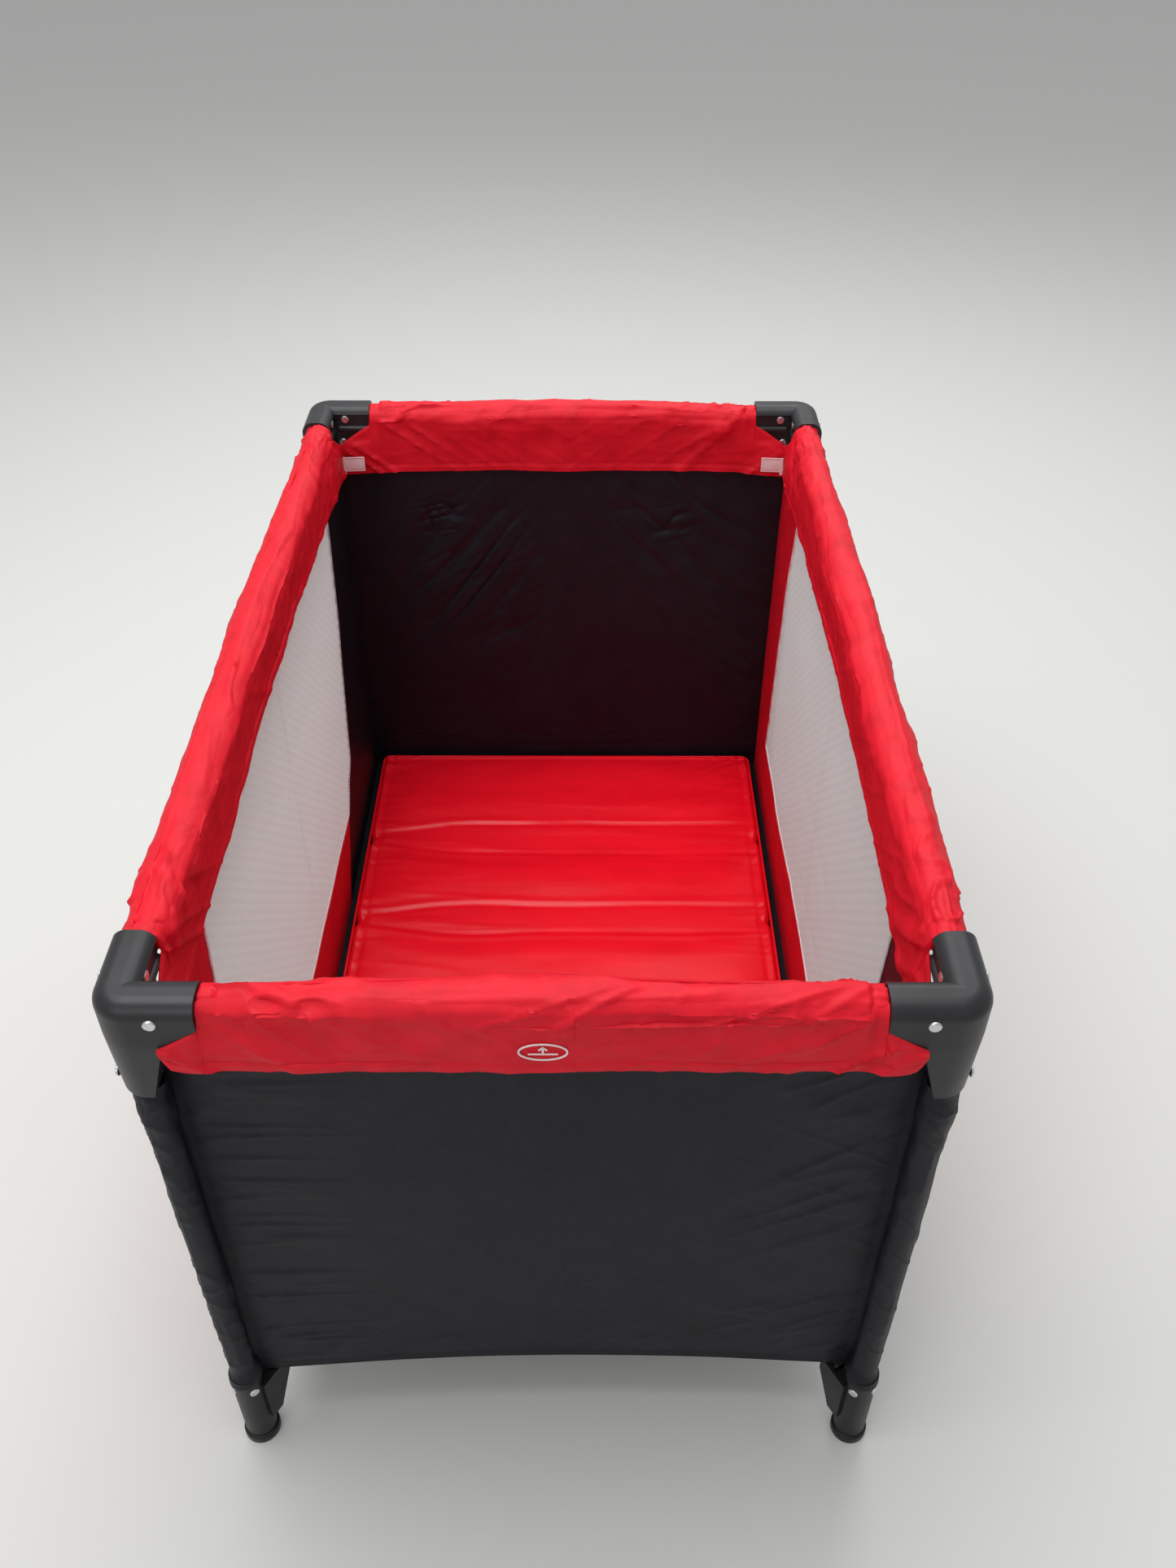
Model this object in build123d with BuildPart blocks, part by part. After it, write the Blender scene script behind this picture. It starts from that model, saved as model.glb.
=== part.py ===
"""Folding playpen (travel cot): every piece in one frame, millimetres.

Origin: centre of the footprint, on the floor. +X across the width, +Y along the length, +Z up.
Signs: sx is -1 for the left side and +1 for the right, sy is -1 for the front and +1 for the back.
"""
import math
import os

from build123d import *

# ---- overall frame ----
LEG_X = 336.0
LEG_Y = 543.0
RAIL_Z = 736.0
PIVOT_INSET = 28.0
PIVOT_FOOT = 22.0
BASE_Z = 100.0
MEET = 21.0
CLEAR = 0.05

# ---- tubes and pins ----
RAIL_R = 9.5
BASE_R = 9.0
LEG_R = 10.0
TUBE_WALL = 1.5
TUBE_OVER = 5.0
PIN_R = 3.0
HEAD_R = 5.5
HEAD_H = 2.2
HEAD_ROUND = 1.5

# ---- corner bracket ----
BR_OUT = 23.0
BR_IN = 15.5
BR_ARM = 86.0
BR_TOP = 754.0
BR_ARM_Z = 708.0
BR_ARM_RISE = 20.0
BR_LOW = 640.0
WEB_Z = 692.0
SCREW_Z = 702.0
SCREW_INSET = 22.0
LEG_RIVET_Z = 652.0
LEG_RIVET_OUT = 20.0
BR_CORNER = 30.0
BR_TOP_ROUND = 15.0
BR_SLOT = 10.0
BR_SLOT_TOP = 747.4
BR_SLOT_END = 12.8 - PIVOT_INSET
COLUMN_IN = 12.5
COLUMN_OUT = 20.0
COLUMN_CORNER = 27.0
WEB_REACH = 32.0
WEB_IN = 8.0
POCKET = 3.7
RIDGE_R = 4.5
RIDGE_OUT = 10.6
RIDGE_Z = 722.0
RIDGE_GAP = 4.0
LEG_TOP = 702.0

# ---- foot ----
FOOT_TOP = 132.0
FOOT_R = 17.5
FOOT_PAD_R = 20.0
FOOT_PAD = 12.0
EAR_HALF = 13.8
EAR_GAP = 9.6
EAR_TOP = 112.5
EAR_LOW = 86.0
EAR_REACH = 41.0
FOOT_RIVET_Z = 110.0
FOOT_RIVET_TURN = 36.0
FOOT_SEAT = 16.5

# ---- covers, walls and mat ----
ROLL_R = 24.0
LOCK_BORE = 18.5
LOCK_BORE_LEN = 41.0
SKIRT_T = 2.5
OUT_HEM = 682.0
IN_HEM = 659.0
WALL_IN = 14.0
WALL_T = 2.0
WALL_TOP = 714.0
END_LOW = 116.0
SIDE_LOW = 114.0
SIDE_END = 524.0
END_HALF = 320.0
SPLIT_GAP = 0.3
LABEL_SPLIT = 25.0
TONGUE_Z = 722.0
LABEL_Z = 708.0
LABEL_HX = 19.5
LABEL_HZ = 9.5
LABEL_T = 0.8
SLEEVE_R = 14.0
SLEEVE_LOW = 134.0
MAT_HX = 305.0
MAT_HY = 512.0
MAT_Y = 4.5
MAT_LOW = 116.0
MAT_TOP = 144.0
MAT_ROUND = 8.0
MAT_CORNER = 18.0
MAT_SEAMS = (-297.0, -120.0, 129.0, 306.0)
SEAM_W = 14.0
SEAM_D = 7.0
CLOTH_HX = 312.0
CLOTH_HY = 516.0
CLOTH_LOW = 113.4
CLOTH_T = 1.2

# ---- hub, lock and strap ----
HUB_R = 46.0
HUB_LOW = 84.0
HUB_TOP = 113.0
HUB_FOOT_R = 20.0
HUB_SLOT_TOP = 110.6
HUB_SLOT_IN = 10.9
LOCK_HALF = 36.0
LOCK_R = 13.5
LOCK_SLOT = 9.8
LOCK_FLOOR = 11.0
BUTTON_R = 7.0
BUTTON_LOW = 718.5
BUTTON_TOP = 734.0
BUTTON_ROOF = 741.0
STRAP_W = 24.0
STRAP_T = 2.4
STRAP_LOW = 12.0
STRAP_HALF = 55.0

HUB_PX = LEG_X - PIVOT_FOOT - (LEG_X - PIVOT_INSET - MEET)
HUB_PY = LEG_Y - PIVOT_FOOT - (LEG_Y - PIVOT_INSET - MEET)
BASE_DX = LEG_X - PIVOT_INSET - MEET
BASE_DY = LEG_Y - PIVOT_INSET - MEET
BASE_LEN = math.hypot(BASE_DX, BASE_DY)

SIDES = {"left": -1, "right": 1}
ENDS = {"front": -1, "back": 1}
CORNERS = {a[0] + b[0]: (SIDES[b], ENDS[a]) for a in ENDS for b in SIDES}

os.makedirs("parts", exist_ok=True)


def save(name, part):
    part.label = name
    export_step(part, "parts/" + name + ".step")


def along(kind, sx, sy):
    """Unit vectors of one half rail: along it from the middle outwards, and outwards from the pen."""
    if kind == "x":
        return Vector(sx, 0, 0), Vector(0, sy, 0)
    return Vector(0, sy, 0), Vector(sx, 0, 0)


def reach(kind):
    """Distances of the rail's leg from the middle, and of the rail from the pen's centre line."""
    return (LEG_X, LEG_Y) if kind == "x" else (LEG_Y, LEG_X)


def spot(kind, sx, sy, s, t, z):
    """The point s along the half rail, t outwards from its axis, at height z."""
    run, out = along(kind, sx, sy)
    return run * s + out * (reach(kind)[1] + t) + Vector(0, 0, z)


def upright(kind, sx, sy, t):
    """An upright sketch plane at offset t: x runs along the rail, y is height. Also the outward sign."""
    run, out = along(kind, sx, sy)
    plane = Plane(origin=spot(kind, sx, sy, 0, t, 0), x_dir=run, z_dir=run.cross(Vector(0, 0, 1)))
    return plane, round(plane.z_dir.dot(out))


def slab(kind, sx, sy, points, t0, t1, mode=Mode.ADD):
    """An upright prism with the given (s, z) outline between offsets t0 and t1."""
    plane, sign = upright(kind, sx, sy, t0)
    with BuildSketch(plane) as outline:
        Polygon(*points, align=None)
    extrude(outline.sketch, amount=sign * (t1 - t0), mode=mode)


def rod(start, direction, radius, length, mode=Mode.ADD):
    """A round bar from a point along a direction."""
    with BuildSketch(Plane(origin=start, z_dir=direction)) as outline:
        Circle(radius)
    extrude(outline.sketch, amount=length, mode=mode)


def head(point, direction):
    """A domed rivet head standing on a face."""
    with BuildPart(mode=Mode.PRIVATE) as dome:
        rod(point, direction, HEAD_R, HEAD_H)
        fillet(dome.edges().sort_by(lambda e: e.center().dot(Vector(*direction)))[-1], HEAD_ROUND)
    add(dome.part)


def box_points(s0, s1, z0, z1):
    return [(s0, z0), (s1, z0), (s1, z1), (s0, z1)]


def arm_end(kind):
    """Where a bracket's arm stops, from the middle of the side."""
    return reach(kind)[0] + BR_OUT - BR_ARM


def bracket_mask(sx, sy):
    """The bracket's plan outline, with its rounded outer corner."""
    size = BR_ARM + BR_CORNER
    with BuildPart() as mask:
        with BuildSketch(Plane.XY.offset(BR_LOW)) as plan:
            with Locations((sx * (LEG_X + BR_OUT - size / 2), sy * (LEG_Y + BR_OUT - size / 2))):
                RectangleRounded(size, size, BR_CORNER)
            with Locations((sx * (LEG_X + BR_OUT - size), sy * (LEG_Y + BR_OUT - size / 2))):
                Rectangle(2 * BR_CORNER, size)
            with Locations((sx * (LEG_X + BR_OUT - size / 2), sy * (LEG_Y + BR_OUT - size))):
                Rectangle(size, 2 * BR_CORNER)
        extrude(plan.sketch, amount=BR_TOP - BR_LOW)
    return mask.part


def column_plan(sx, sy, z, back_x, back_y, out, corner):
    """A level section of the bracket's column, measured from the leg, rounded at its outer corner."""
    with BuildSketch(Plane.XY.offset(z), mode=Mode.PRIVATE) as plan:
        with Locations((sx * (LEG_X + (out - back_x) / 2), sy * (LEG_Y + (out - back_y) / 2))):
            Rectangle(out + back_x, out + back_y)
        fillet(plan.vertices().sort_by(lambda v: sx * v.X + sy * v.Y)[-1], corner)
    return plan.sketch


def make_column(sx, sy):
    """The bracket's lower part: a web from each arm that narrows down to the leg."""
    plans = ((COLUMN_IN, COLUMN_IN), (WEB_REACH, WEB_IN), (WEB_IN, WEB_REACH))
    for back_x, back_y in plans:
        high = column_plan(sx, sy, BR_ARM_Z, back_x, back_y, BR_OUT, BR_CORNER)
        feet = (min(back_x, COLUMN_IN), min(back_y, COLUMN_IN))
        low = column_plan(sx, sy, BR_LOW, *feet, COLUMN_OUT, COLUMN_CORNER)
        loft(sections=[low, high], ruled=True)


def make_bracket(sx, sy):
    with BuildPart() as bracket:
        for kind in "xy":
            leg = reach(kind)[0]
            end = arm_end(kind)
            top = box_points(end, leg + BR_OUT, BR_ARM_Z, BR_TOP)
            top[0] = (end, BR_ARM_Z + BR_ARM_RISE)
            top.insert(1, (leg - WEB_REACH, BR_ARM_Z))
            slab(kind, sx, sy, top, -BR_IN, BR_OUT)
            inner = [(leg - 46, WEB_Z + 20), (leg - 32, WEB_Z + 8), (leg - 22, WEB_Z - 1)]
            inner += [(leg, WEB_Z - 3), (leg, WEB_Z + 26), (leg - 46, WEB_Z + 34)]
            slab(kind, sx, sy, inner, -BR_IN, 0)
        add(bracket_mask(sx, sy), mode=Mode.INTERSECT)
        make_column(sx, sy)
        tops = bracket.faces().sort_by(Axis.Z)[-1].edges()
        ends = (arm_end("x"), arm_end("y"))
        sides = [
            e for e in tops
            if abs(abs(e.center().X) - ends[0]) > 1 and abs(abs(e.center().Y) - ends[1]) > 1
        ]
        fillet(sides, BR_TOP_ROUND)
        for kind in "xy":
            leg = reach(kind)[0]
            end = arm_end(kind)
            recess = box_points(end - 1, leg - BR_IN + POCKET, BR_LOW, RAIL_Z + 8)
            slab(kind, sx, sy, recess, -BR_IN - 1, -BR_IN + POCKET, Mode.SUBTRACT)
        for kind in "xy":
            end = arm_end(kind)
            ridge = spot(kind, sx, sy, end + 0.5, -RIDGE_OUT, RIDGE_Z)
            rod(ridge, along(kind, sx, sy)[0], RIDGE_R, reach(kind)[0] - BR_IN - RIDGE_GAP - end)
        for kind in "xy":
            leg = reach(kind)[0]
            slot = box_points(arm_end(kind) - 5, leg + BR_SLOT_END, BR_LOW - 5, BR_SLOT_TOP)
            slab(kind, sx, sy, slot, -BR_SLOT, BR_SLOT, Mode.SUBTRACT)
            start = spot(kind, sx, sy, leg - PIVOT_INSET, -BR_IN - 1, RAIL_Z)
            rod(start, along(kind, sx, sy)[1], PIN_R, BR_IN + BR_OUT + 2, Mode.SUBTRACT)
        seat = (sx * (LEG_X + LEG_RIVET_OUT), sy * LEG_Y, LEG_RIVET_Z)
        rod(seat, (sx, 0, 0), HEAD_R, BR_OUT, Mode.SUBTRACT)
        rod((sx * LEG_X, sy * LEG_Y, BR_LOW - 1), (0, 0, 1), LEG_R, LEG_TOP - BR_LOW + 1, Mode.SUBTRACT)
    return bracket.part


def make_leg_tube(sx, sy):
    with BuildPart() as leg:
        start = (sx * LEG_X, sy * LEG_Y, FOOT_PAD)
        rod(start, (0, 0, 1), LEG_R, LEG_TOP - FOOT_PAD)
        rod(start, (0, 0, 1), LEG_R - TUBE_WALL, LEG_TOP - FOOT_PAD, Mode.SUBTRACT)
    return leg.part


def base_run(sx, sy):
    """Unit vector along the base tube from the hub to the leg, and the level one across it."""
    run = Vector(sx * BASE_DX, sy * BASE_DY, 0) / BASE_LEN
    return run, run.cross(Vector(0, 0, 1))


def foot_pivot(sx, sy):
    return Vector(sx * (LEG_X - PIVOT_FOOT), sy * (LEG_Y - PIVOT_FOOT), BASE_Z)


def hub_pivot(sx, sy):
    return Vector(sx * HUB_PX, sy * HUB_PY, BASE_Z)


def foot_seats(sx, sy):
    """The two foot rivets: a point on the foot and the way out, each turned towards the front."""
    turn = math.radians(FOOT_RIVET_TURN)
    near = Vector(-sx * math.sin(turn), sy * math.cos(turn), 0)
    far = Vector(sx * math.cos(turn), sy * math.sin(turn), 0)
    middle = Vector(sx * LEG_X, sy * LEG_Y, FOOT_RIVET_Z)
    return [(middle + out * FOOT_SEAT, out) for out in (near, far)]


def make_foot(sx, sy):
    run, across = base_run(sx, sy)
    pivot = foot_pivot(sx, sy)
    with BuildPart() as foot:
        rod((sx * LEG_X, sy * LEG_Y, 0), (0, 0, 1), FOOT_PAD_R, FOOT_PAD)
        fillet(foot.edges().group_by(Axis.Z)[-1], 3)
        chamfer(foot.edges().group_by(Axis.Z)[0], 1.5)
        rod((sx * LEG_X, sy * LEG_Y, FOOT_PAD - 2), (0, 0, 1), FOOT_R, FOOT_TOP - FOOT_PAD + 2)
        side = Plane(origin=pivot + across * EAR_HALF, x_dir=-run, z_dir=-across)
        with BuildSketch(side) as ear:
            Polygon(
                (-28, EAR_TOP - BASE_Z), (6, EAR_TOP - BASE_Z), (11, 6), (11, -8),
                (-12, -58), (-28, -58), align=None,
            )
        extrude(ear.sketch, amount=2 * EAR_HALF)
        gap = Plane(origin=pivot + across * EAR_GAP, x_dir=-run, z_dir=-across)
        with BuildSketch(gap) as slot:
            Polygon((-10.8, 40), (20, 40), (20, -70), (-10.8, -11), align=None)
        extrude(slot.sketch, amount=2 * EAR_GAP, mode=Mode.SUBTRACT)
        rod((sx * LEG_X, sy * LEG_Y, FOOT_PAD), (0, 0, 1), LEG_R, FOOT_TOP, Mode.SUBTRACT)
        rod(pivot - across * (EAR_HALF - 1), across, PIN_R, 2 * EAR_HALF - 2)
        for point, out in foot_seats(sx, sy):
            rod(point, out, HEAD_R, FOOT_R, Mode.SUBTRACT)
    return foot.part


def make_rivets(sx, sy):
    """The corner's pins: two rail pivots, a leg rivet, an inner screw and two foot rivets."""
    with BuildPart() as rivets:
        for kind in "xy":
            run, out = along(kind, sx, sy)
            s = reach(kind)[0] - PIVOT_INSET
            start = spot(kind, sx, sy, s, -BR_IN + POCKET, RAIL_Z)
            rod(start, out, PIN_R, BR_IN - POCKET + BR_OUT)
            head(spot(kind, sx, sy, s, BR_OUT, RAIL_Z), out)
            head(start, -out)
        for point, out in foot_seats(sx, sy):
            head(point, out)
        head((sx * (LEG_X + LEG_RIVET_OUT), sy * LEG_Y, LEG_RIVET_Z), (sx, 0, 0))
        head(spot("x", sx, sy, LEG_X - SCREW_INSET, -BR_IN + POCKET, SCREW_Z), (0, -sy, 0))
    return rivets.part


def make_sleeve(sx, sy):
    with BuildPart() as sleeve:
        start = (sx * LEG_X, sy * LEG_Y, SLEEVE_LOW)
        rod(start, (0, 0, 1), SLEEVE_R, BR_LOW - SLEEVE_LOW - 1)
        rod(start, (0, 0, 1), LEG_R, BR_LOW - SLEEVE_LOW - 1, Mode.SUBTRACT)
    return sleeve.part


def make_rail_tube(kind, sx, sy):
    """One half rail: a tube with a cross hole at each pivot."""
    run, out = along(kind, sx, sy)
    far = reach(kind)[0] - PIVOT_INSET
    with BuildPart() as tube:
        start = spot(kind, sx, sy, MEET - TUBE_OVER, 0, RAIL_Z)
        rod(start, run, RAIL_R, far - MEET + 2 * TUBE_OVER)
        rod(start, run, RAIL_R - TUBE_WALL, far - MEET + 2 * TUBE_OVER, Mode.SUBTRACT)
        for s in (MEET, far):
            hole = spot(kind, sx, sy, s, -RAIL_R - 1, RAIL_Z)
            rod(hole, out, PIN_R + CLEAR, 2 * RAIL_R + 2, Mode.SUBTRACT)
    return tube.part


def make_label():
    """The small oval patch at the middle of the front cover."""
    face = Plane(origin=(0, -(LEG_Y + ROLL_R - 1), LABEL_Z), x_dir=(1, 0, 0), z_dir=(0, -1, 0))
    with BuildSketch(face) as oval:
        Ellipse(LABEL_HX, LABEL_HZ)
    extrude(oval.sketch, amount=1 + LABEL_T)


def make_cover(kind, sx, sy):
    """Half of a padded rail cover: the roll, its outer and inner skirts, and the corner tab."""
    run = along(kind, sx, sy)[0]
    leg = reach(kind)[0]
    end = arm_end(kind)
    with BuildPart() as cover:
        rod(spot(kind, sx, sy, SPLIT_GAP, 0, RAIL_Z), run, ROLL_R, end - 2 * SPLIT_GAP)
        labelled = kind == "x" and sy == -1
        first = SPLIT_GAP + (sx * LABEL_SPLIT if labelled else 0)
        near = max(first, SPLIT_GAP)
        skirt_out = [(first, OUT_HEM), (leg - 56, OUT_HEM + 2), (leg - 37, BR_ARM_Z - 16)]
        skirt_out += [(leg - 34, BR_ARM_Z - 5), (end - SPLIT_GAP, BR_ARM_Z + 14)]
        skirt_out += [(end - SPLIT_GAP, RAIL_Z - 4), (near, RAIL_Z - 4)]
        skirt_out += [(near, TONGUE_Z), (first, TONGUE_Z)] if first < near else []
        slab(kind, sx, sy, skirt_out, ROLL_R - SKIRT_T, ROLL_R)
        if labelled and sx == -1:
            make_label()
        skirt_in = [(SPLIT_GAP, IN_HEM), (leg - 26, IN_HEM), (leg - 26, WEB_Z - 2)]
        skirt_in += [(leg - 34, WEB_Z + 6.5), (leg - 47, WEB_Z + 18), (end - SPLIT_GAP, WEB_Z + 30)]
        skirt_in += [(end - SPLIT_GAP, RAIL_Z), (SPLIT_GAP, RAIL_Z)]
        slab(kind, sx, sy, skirt_in, -ROLL_R, -ROLL_R + SKIRT_T)
        if kind == "x":
            tab = box_points(leg - 52, leg - 27, IN_HEM + 4, IN_HEM + 28)
            slab(kind, sx, sy, tab, -ROLL_R - 2, -ROLL_R + 1)
        rod(spot(kind, sx, sy, 0, 0, RAIL_Z), run, RAIL_R, end + 5, Mode.SUBTRACT)
        rod(spot(kind, sx, sy, 0, 0, RAIL_Z), run, LOCK_BORE, LOCK_BORE_LEN, Mode.SUBTRACT)
    return cover.part


def make_lock(kind, sx, sy):
    """The rail's middle lock: a round housing with a pin for each half rail."""
    run, out = along(kind, sx, sy)
    with BuildPart() as lock:
        rod(spot(kind, sx, sy, -LOCK_HALF, 0, RAIL_Z), run, LOCK_R, 2 * LOCK_HALF)
        for way in (-1, 1):
            gap = box_points(way * (MEET - HUB_SLOT_IN), way * (LOCK_HALF + 1), 0, 0)
            gap = [(s, RAIL_Z - LOCK_FLOOR) for s, z in gap[:2]] + [(s, RAIL_Z + 20) for s, z in gap[2:]]
            slab(kind, sx, sy, gap, -LOCK_SLOT, LOCK_SLOT, Mode.SUBTRACT)
        for way in (-1, 1):
            rod(spot(kind, sx, sy, way * MEET, -LOCK_R + 2, RAIL_Z), out, PIN_R, 2 * LOCK_R - 4)
        bore = spot(kind, sx, sy, 0, 0, RAIL_Z - LOCK_R - 5)
        rod(bore, (0, 0, 1), BUTTON_R + CLEAR, BUTTON_ROOF - RAIL_Z + LOCK_R + 5, Mode.SUBTRACT)
    return lock.part


def make_button(kind, sx, sy):
    with BuildPart() as button:
        rod(spot(kind, sx, sy, 0, 0, BUTTON_LOW), (0, 0, 1), BUTTON_R, BUTTON_TOP - BUTTON_LOW)
        chamfer(button.edges().group_by(Axis.Z)[0], 1)
    return button.part


def make_wall(kind, sx, sy, last, low):
    """Half of a wall, from the middle to the leg, cut back under the bracket."""
    leg = reach(kind)[0]
    with BuildPart() as wall:
        outline = [(SPLIT_GAP, low), (last, low), (last, WEB_Z - 6), (leg - 22, WEB_Z - 4)]
        outline += [(leg - 34, WEB_Z + 5), (leg - 47, WEB_Z + 17), (arm_end(kind) - 2, WALL_TOP)]
        outline += [(SPLIT_GAP, WALL_TOP)]
        slab(kind, sx, sy, outline, -WALL_IN - WALL_T / 2, -WALL_IN + WALL_T / 2)
    return wall.part


def make_base_tube(sx, sy):
    run, across = base_run(sx, sy)
    with BuildPart() as tube:
        start = hub_pivot(sx, sy) - run * TUBE_OVER
        rod(start, run, BASE_R, BASE_LEN + 2 * TUBE_OVER)
        rod(start, run, BASE_R - TUBE_WALL, BASE_LEN + 2 * TUBE_OVER, Mode.SUBTRACT)
        for pivot in (hub_pivot(sx, sy), foot_pivot(sx, sy)):
            rod(pivot - across * (BASE_R + 1), across, PIN_R + CLEAR, 2 * BASE_R + 2, Mode.SUBTRACT)
    return tube.part


def make_hub():
    """The base's centre hub, with a slot and a pin for each tube, and its own foot."""
    with BuildPart() as hub:
        rod((0, 0, 0), (0, 0, 1), HUB_FOOT_R + 4, 6)
        rod((0, 0, 0), (0, 0, 1), HUB_FOOT_R, HUB_LOW + 2)
        rod((0, 0, HUB_LOW), (0, 0, 1), HUB_R, HUB_TOP - HUB_LOW)
        fillet(hub.edges().group_by(Axis.Z)[-1], 2)
        for sx, sy in CORNERS.values():
            run, across = base_run(sx, sy)
            pivot = hub_pivot(sx, sy)
            gap = Plane(origin=pivot - across * EAR_GAP, x_dir=run, z_dir=across)
            low = HUB_LOW - BASE_Z - 5
            top = HUB_SLOT_TOP - BASE_Z
            with BuildSketch(gap) as slot:
                Polygon(*box_points(-HUB_SLOT_IN, HUB_R, low, top), align=None)
            extrude(slot.sketch, amount=2 * EAR_GAP, mode=Mode.SUBTRACT)
        for sx, sy in CORNERS.values():
            run, across = base_run(sx, sy)
            rod(hub_pivot(sx, sy) - across * (EAR_GAP + 1), across, PIN_R, 2 * EAR_GAP + 2)
        with BuildSketch(Plane.XY.offset(STRAP_LOW - 2)) as web:
            Rectangle(STRAP_W + 1, STRAP_T + 1)
        extrude(web.sketch, amount=HUB_TOP, mode=Mode.SUBTRACT)
    return hub.part


def make_strap():
    """The lift strap: a web down through the hub and a flat handle on top."""
    with BuildPart() as strap:
        with BuildSketch(Plane.XY.offset(STRAP_LOW)) as web:
            Rectangle(STRAP_W, STRAP_T)
        extrude(web.sketch, amount=HUB_TOP + 1 - STRAP_LOW)
        with BuildSketch(Plane.XY.offset(HUB_TOP + 0.3)) as grip:
            RectangleRounded(2 * STRAP_HALF, STRAP_W + 4, 6)
        extrude(grip.sketch, amount=STRAP_T)
    return strap.part


def make_mat():
    """The segmented mat, with a sunk seam between each pair of padded panels."""
    with BuildPart() as mat:
        with BuildSketch(Plane.XY.offset(MAT_LOW)) as plan:
            with Locations((0, MAT_Y)):
                RectangleRounded(2 * MAT_HX, 2 * MAT_HY, MAT_CORNER)
        extrude(plan.sketch, amount=MAT_TOP - MAT_LOW)
        fillet(mat.edges().group_by(Axis.Z)[-1], MAT_ROUND)
        for y in MAT_SEAMS:
            with BuildSketch(Plane.YZ.offset(-MAT_HX - 5)) as groove:
                with Locations((y, MAT_TOP)):
                    Polygon(
                        (-SEAM_W, 0), (-SEAM_W / 3, -SEAM_D), (SEAM_W / 3, -SEAM_D), (SEAM_W, 0),
                        align=None,
                    )
            extrude(groove.sketch, amount=2 * MAT_HX + 10, mode=Mode.SUBTRACT)
    return mat.part


def make_floor_cloth():
    with BuildPart() as cloth:
        with BuildSketch(Plane.XY.offset(CLOTH_LOW)) as plan:
            RectangleRounded(2 * CLOTH_HX, 2 * CLOTH_HY, MAT_CORNER)
            Rectangle(2 * STRAP_HALF + 10, STRAP_W + 14, mode=Mode.SUBTRACT)
        extrude(plan.sketch, amount=CLOTH_T)
    return cloth.part


for key, (sx, sy) in CORNERS.items():
    save("corner_bracket_" + key, make_bracket(sx, sy))
    save("leg_tube_" + key, make_leg_tube(sx, sy))
    save("foot_" + key, make_foot(sx, sy))
    save("rivets_" + key, make_rivets(sx, sy))
    save("leg_sleeve_" + key, make_sleeve(sx, sy))
    save("base_tube_" + key, make_base_tube(sx, sy))

for end_name, sy in ENDS.items():
    save("rail_lock_" + end_name, make_lock("x", 1, sy))
    save("lock_button_" + end_name, make_button("x", 1, sy))
    for side_name, sx in SIDES.items():
        pair = end_name + "_" + side_name
        save("rail_tube_" + pair, make_rail_tube("x", sx, sy))
        save("rail_cover_" + pair, make_cover("x", sx, sy))
        save("end_panel_" + pair, make_wall("x", sx, sy, END_HALF, END_LOW))

for side_name, sx in SIDES.items():
    save("rail_lock_" + side_name, make_lock("y", sx, 1))
    save("lock_button_" + side_name, make_button("y", sx, 1))
    for end_name, sy in ENDS.items():
        pair = side_name + "_" + end_name
        save("rail_tube_" + pair, make_rail_tube("y", sx, sy))
        save("rail_cover_" + pair, make_cover("y", sx, sy))
        save("mesh_side_" + pair, make_wall("y", sx, sy, SIDE_END, SIDE_LOW))

save("base_hub", make_hub())
save("lift_strap", make_strap())
save("mat", make_mat())
save("floor_cloth", make_floor_cloth())
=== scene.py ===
"""Folding playpen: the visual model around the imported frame. Metres, +Z up, origin on the floor."""
import math

import bmesh
import bpy
import numpy as np
from mathutils import Matrix, Vector


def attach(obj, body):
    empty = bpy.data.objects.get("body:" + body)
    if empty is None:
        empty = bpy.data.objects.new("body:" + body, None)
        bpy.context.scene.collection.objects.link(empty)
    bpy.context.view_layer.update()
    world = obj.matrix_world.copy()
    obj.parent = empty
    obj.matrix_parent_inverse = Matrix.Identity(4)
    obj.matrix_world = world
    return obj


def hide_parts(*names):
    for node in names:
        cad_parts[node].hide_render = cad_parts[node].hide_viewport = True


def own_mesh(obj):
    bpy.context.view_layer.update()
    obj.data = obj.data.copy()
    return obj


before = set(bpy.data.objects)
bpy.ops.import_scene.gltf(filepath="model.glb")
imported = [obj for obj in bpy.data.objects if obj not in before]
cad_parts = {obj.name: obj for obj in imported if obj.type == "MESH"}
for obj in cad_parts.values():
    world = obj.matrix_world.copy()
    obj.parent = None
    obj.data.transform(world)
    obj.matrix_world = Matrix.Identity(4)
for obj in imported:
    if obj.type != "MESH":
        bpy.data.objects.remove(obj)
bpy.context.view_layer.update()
scene = bpy.context.scene

# ---- the frame's main sizes, as the CAD model has them ----
LX, LY, RZ = 0.336, 0.543, 0.736   # a leg's axis from the centre, and the height of the rails' axes
ARM = 0.063                        # from a leg's axis back to the end of the bracket's arm
END = {"x": LX - ARM, "y": LY - ARM}
PANEL_LOW, SIDE_LOW = 0.1157, 0.1145     # heights of the walls' lower edges
STRIP_TOP, WALL_TOP = 0.238, 0.7135      # heights of the red strip's upper edge and of the walls'
PANEL_LAST, SIDE_LAST = 0.3305, 0.5272   # where the walls end at the legs, from the middle
PANEL_OUT, SIDE_OUT = -0.0150, -0.014    # where the walls' cloth stands, from the rail's axis
SKIRT_OUTEST = 0.0285                    # the furthest that a skirt stands from that axis


# ---------------------------------------------------------------- noise
def hashed(i, j, seed):
    n = (i * 374761393 + j * 668265263 + seed * 974634777) & 0xFFFFFFFF
    n = ((n ^ (n >> 13)) * 1274126177) & 0xFFFFFFFF
    return ((n ^ (n >> 16)) & 0xFFFF) / 32767.5 - 1


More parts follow.
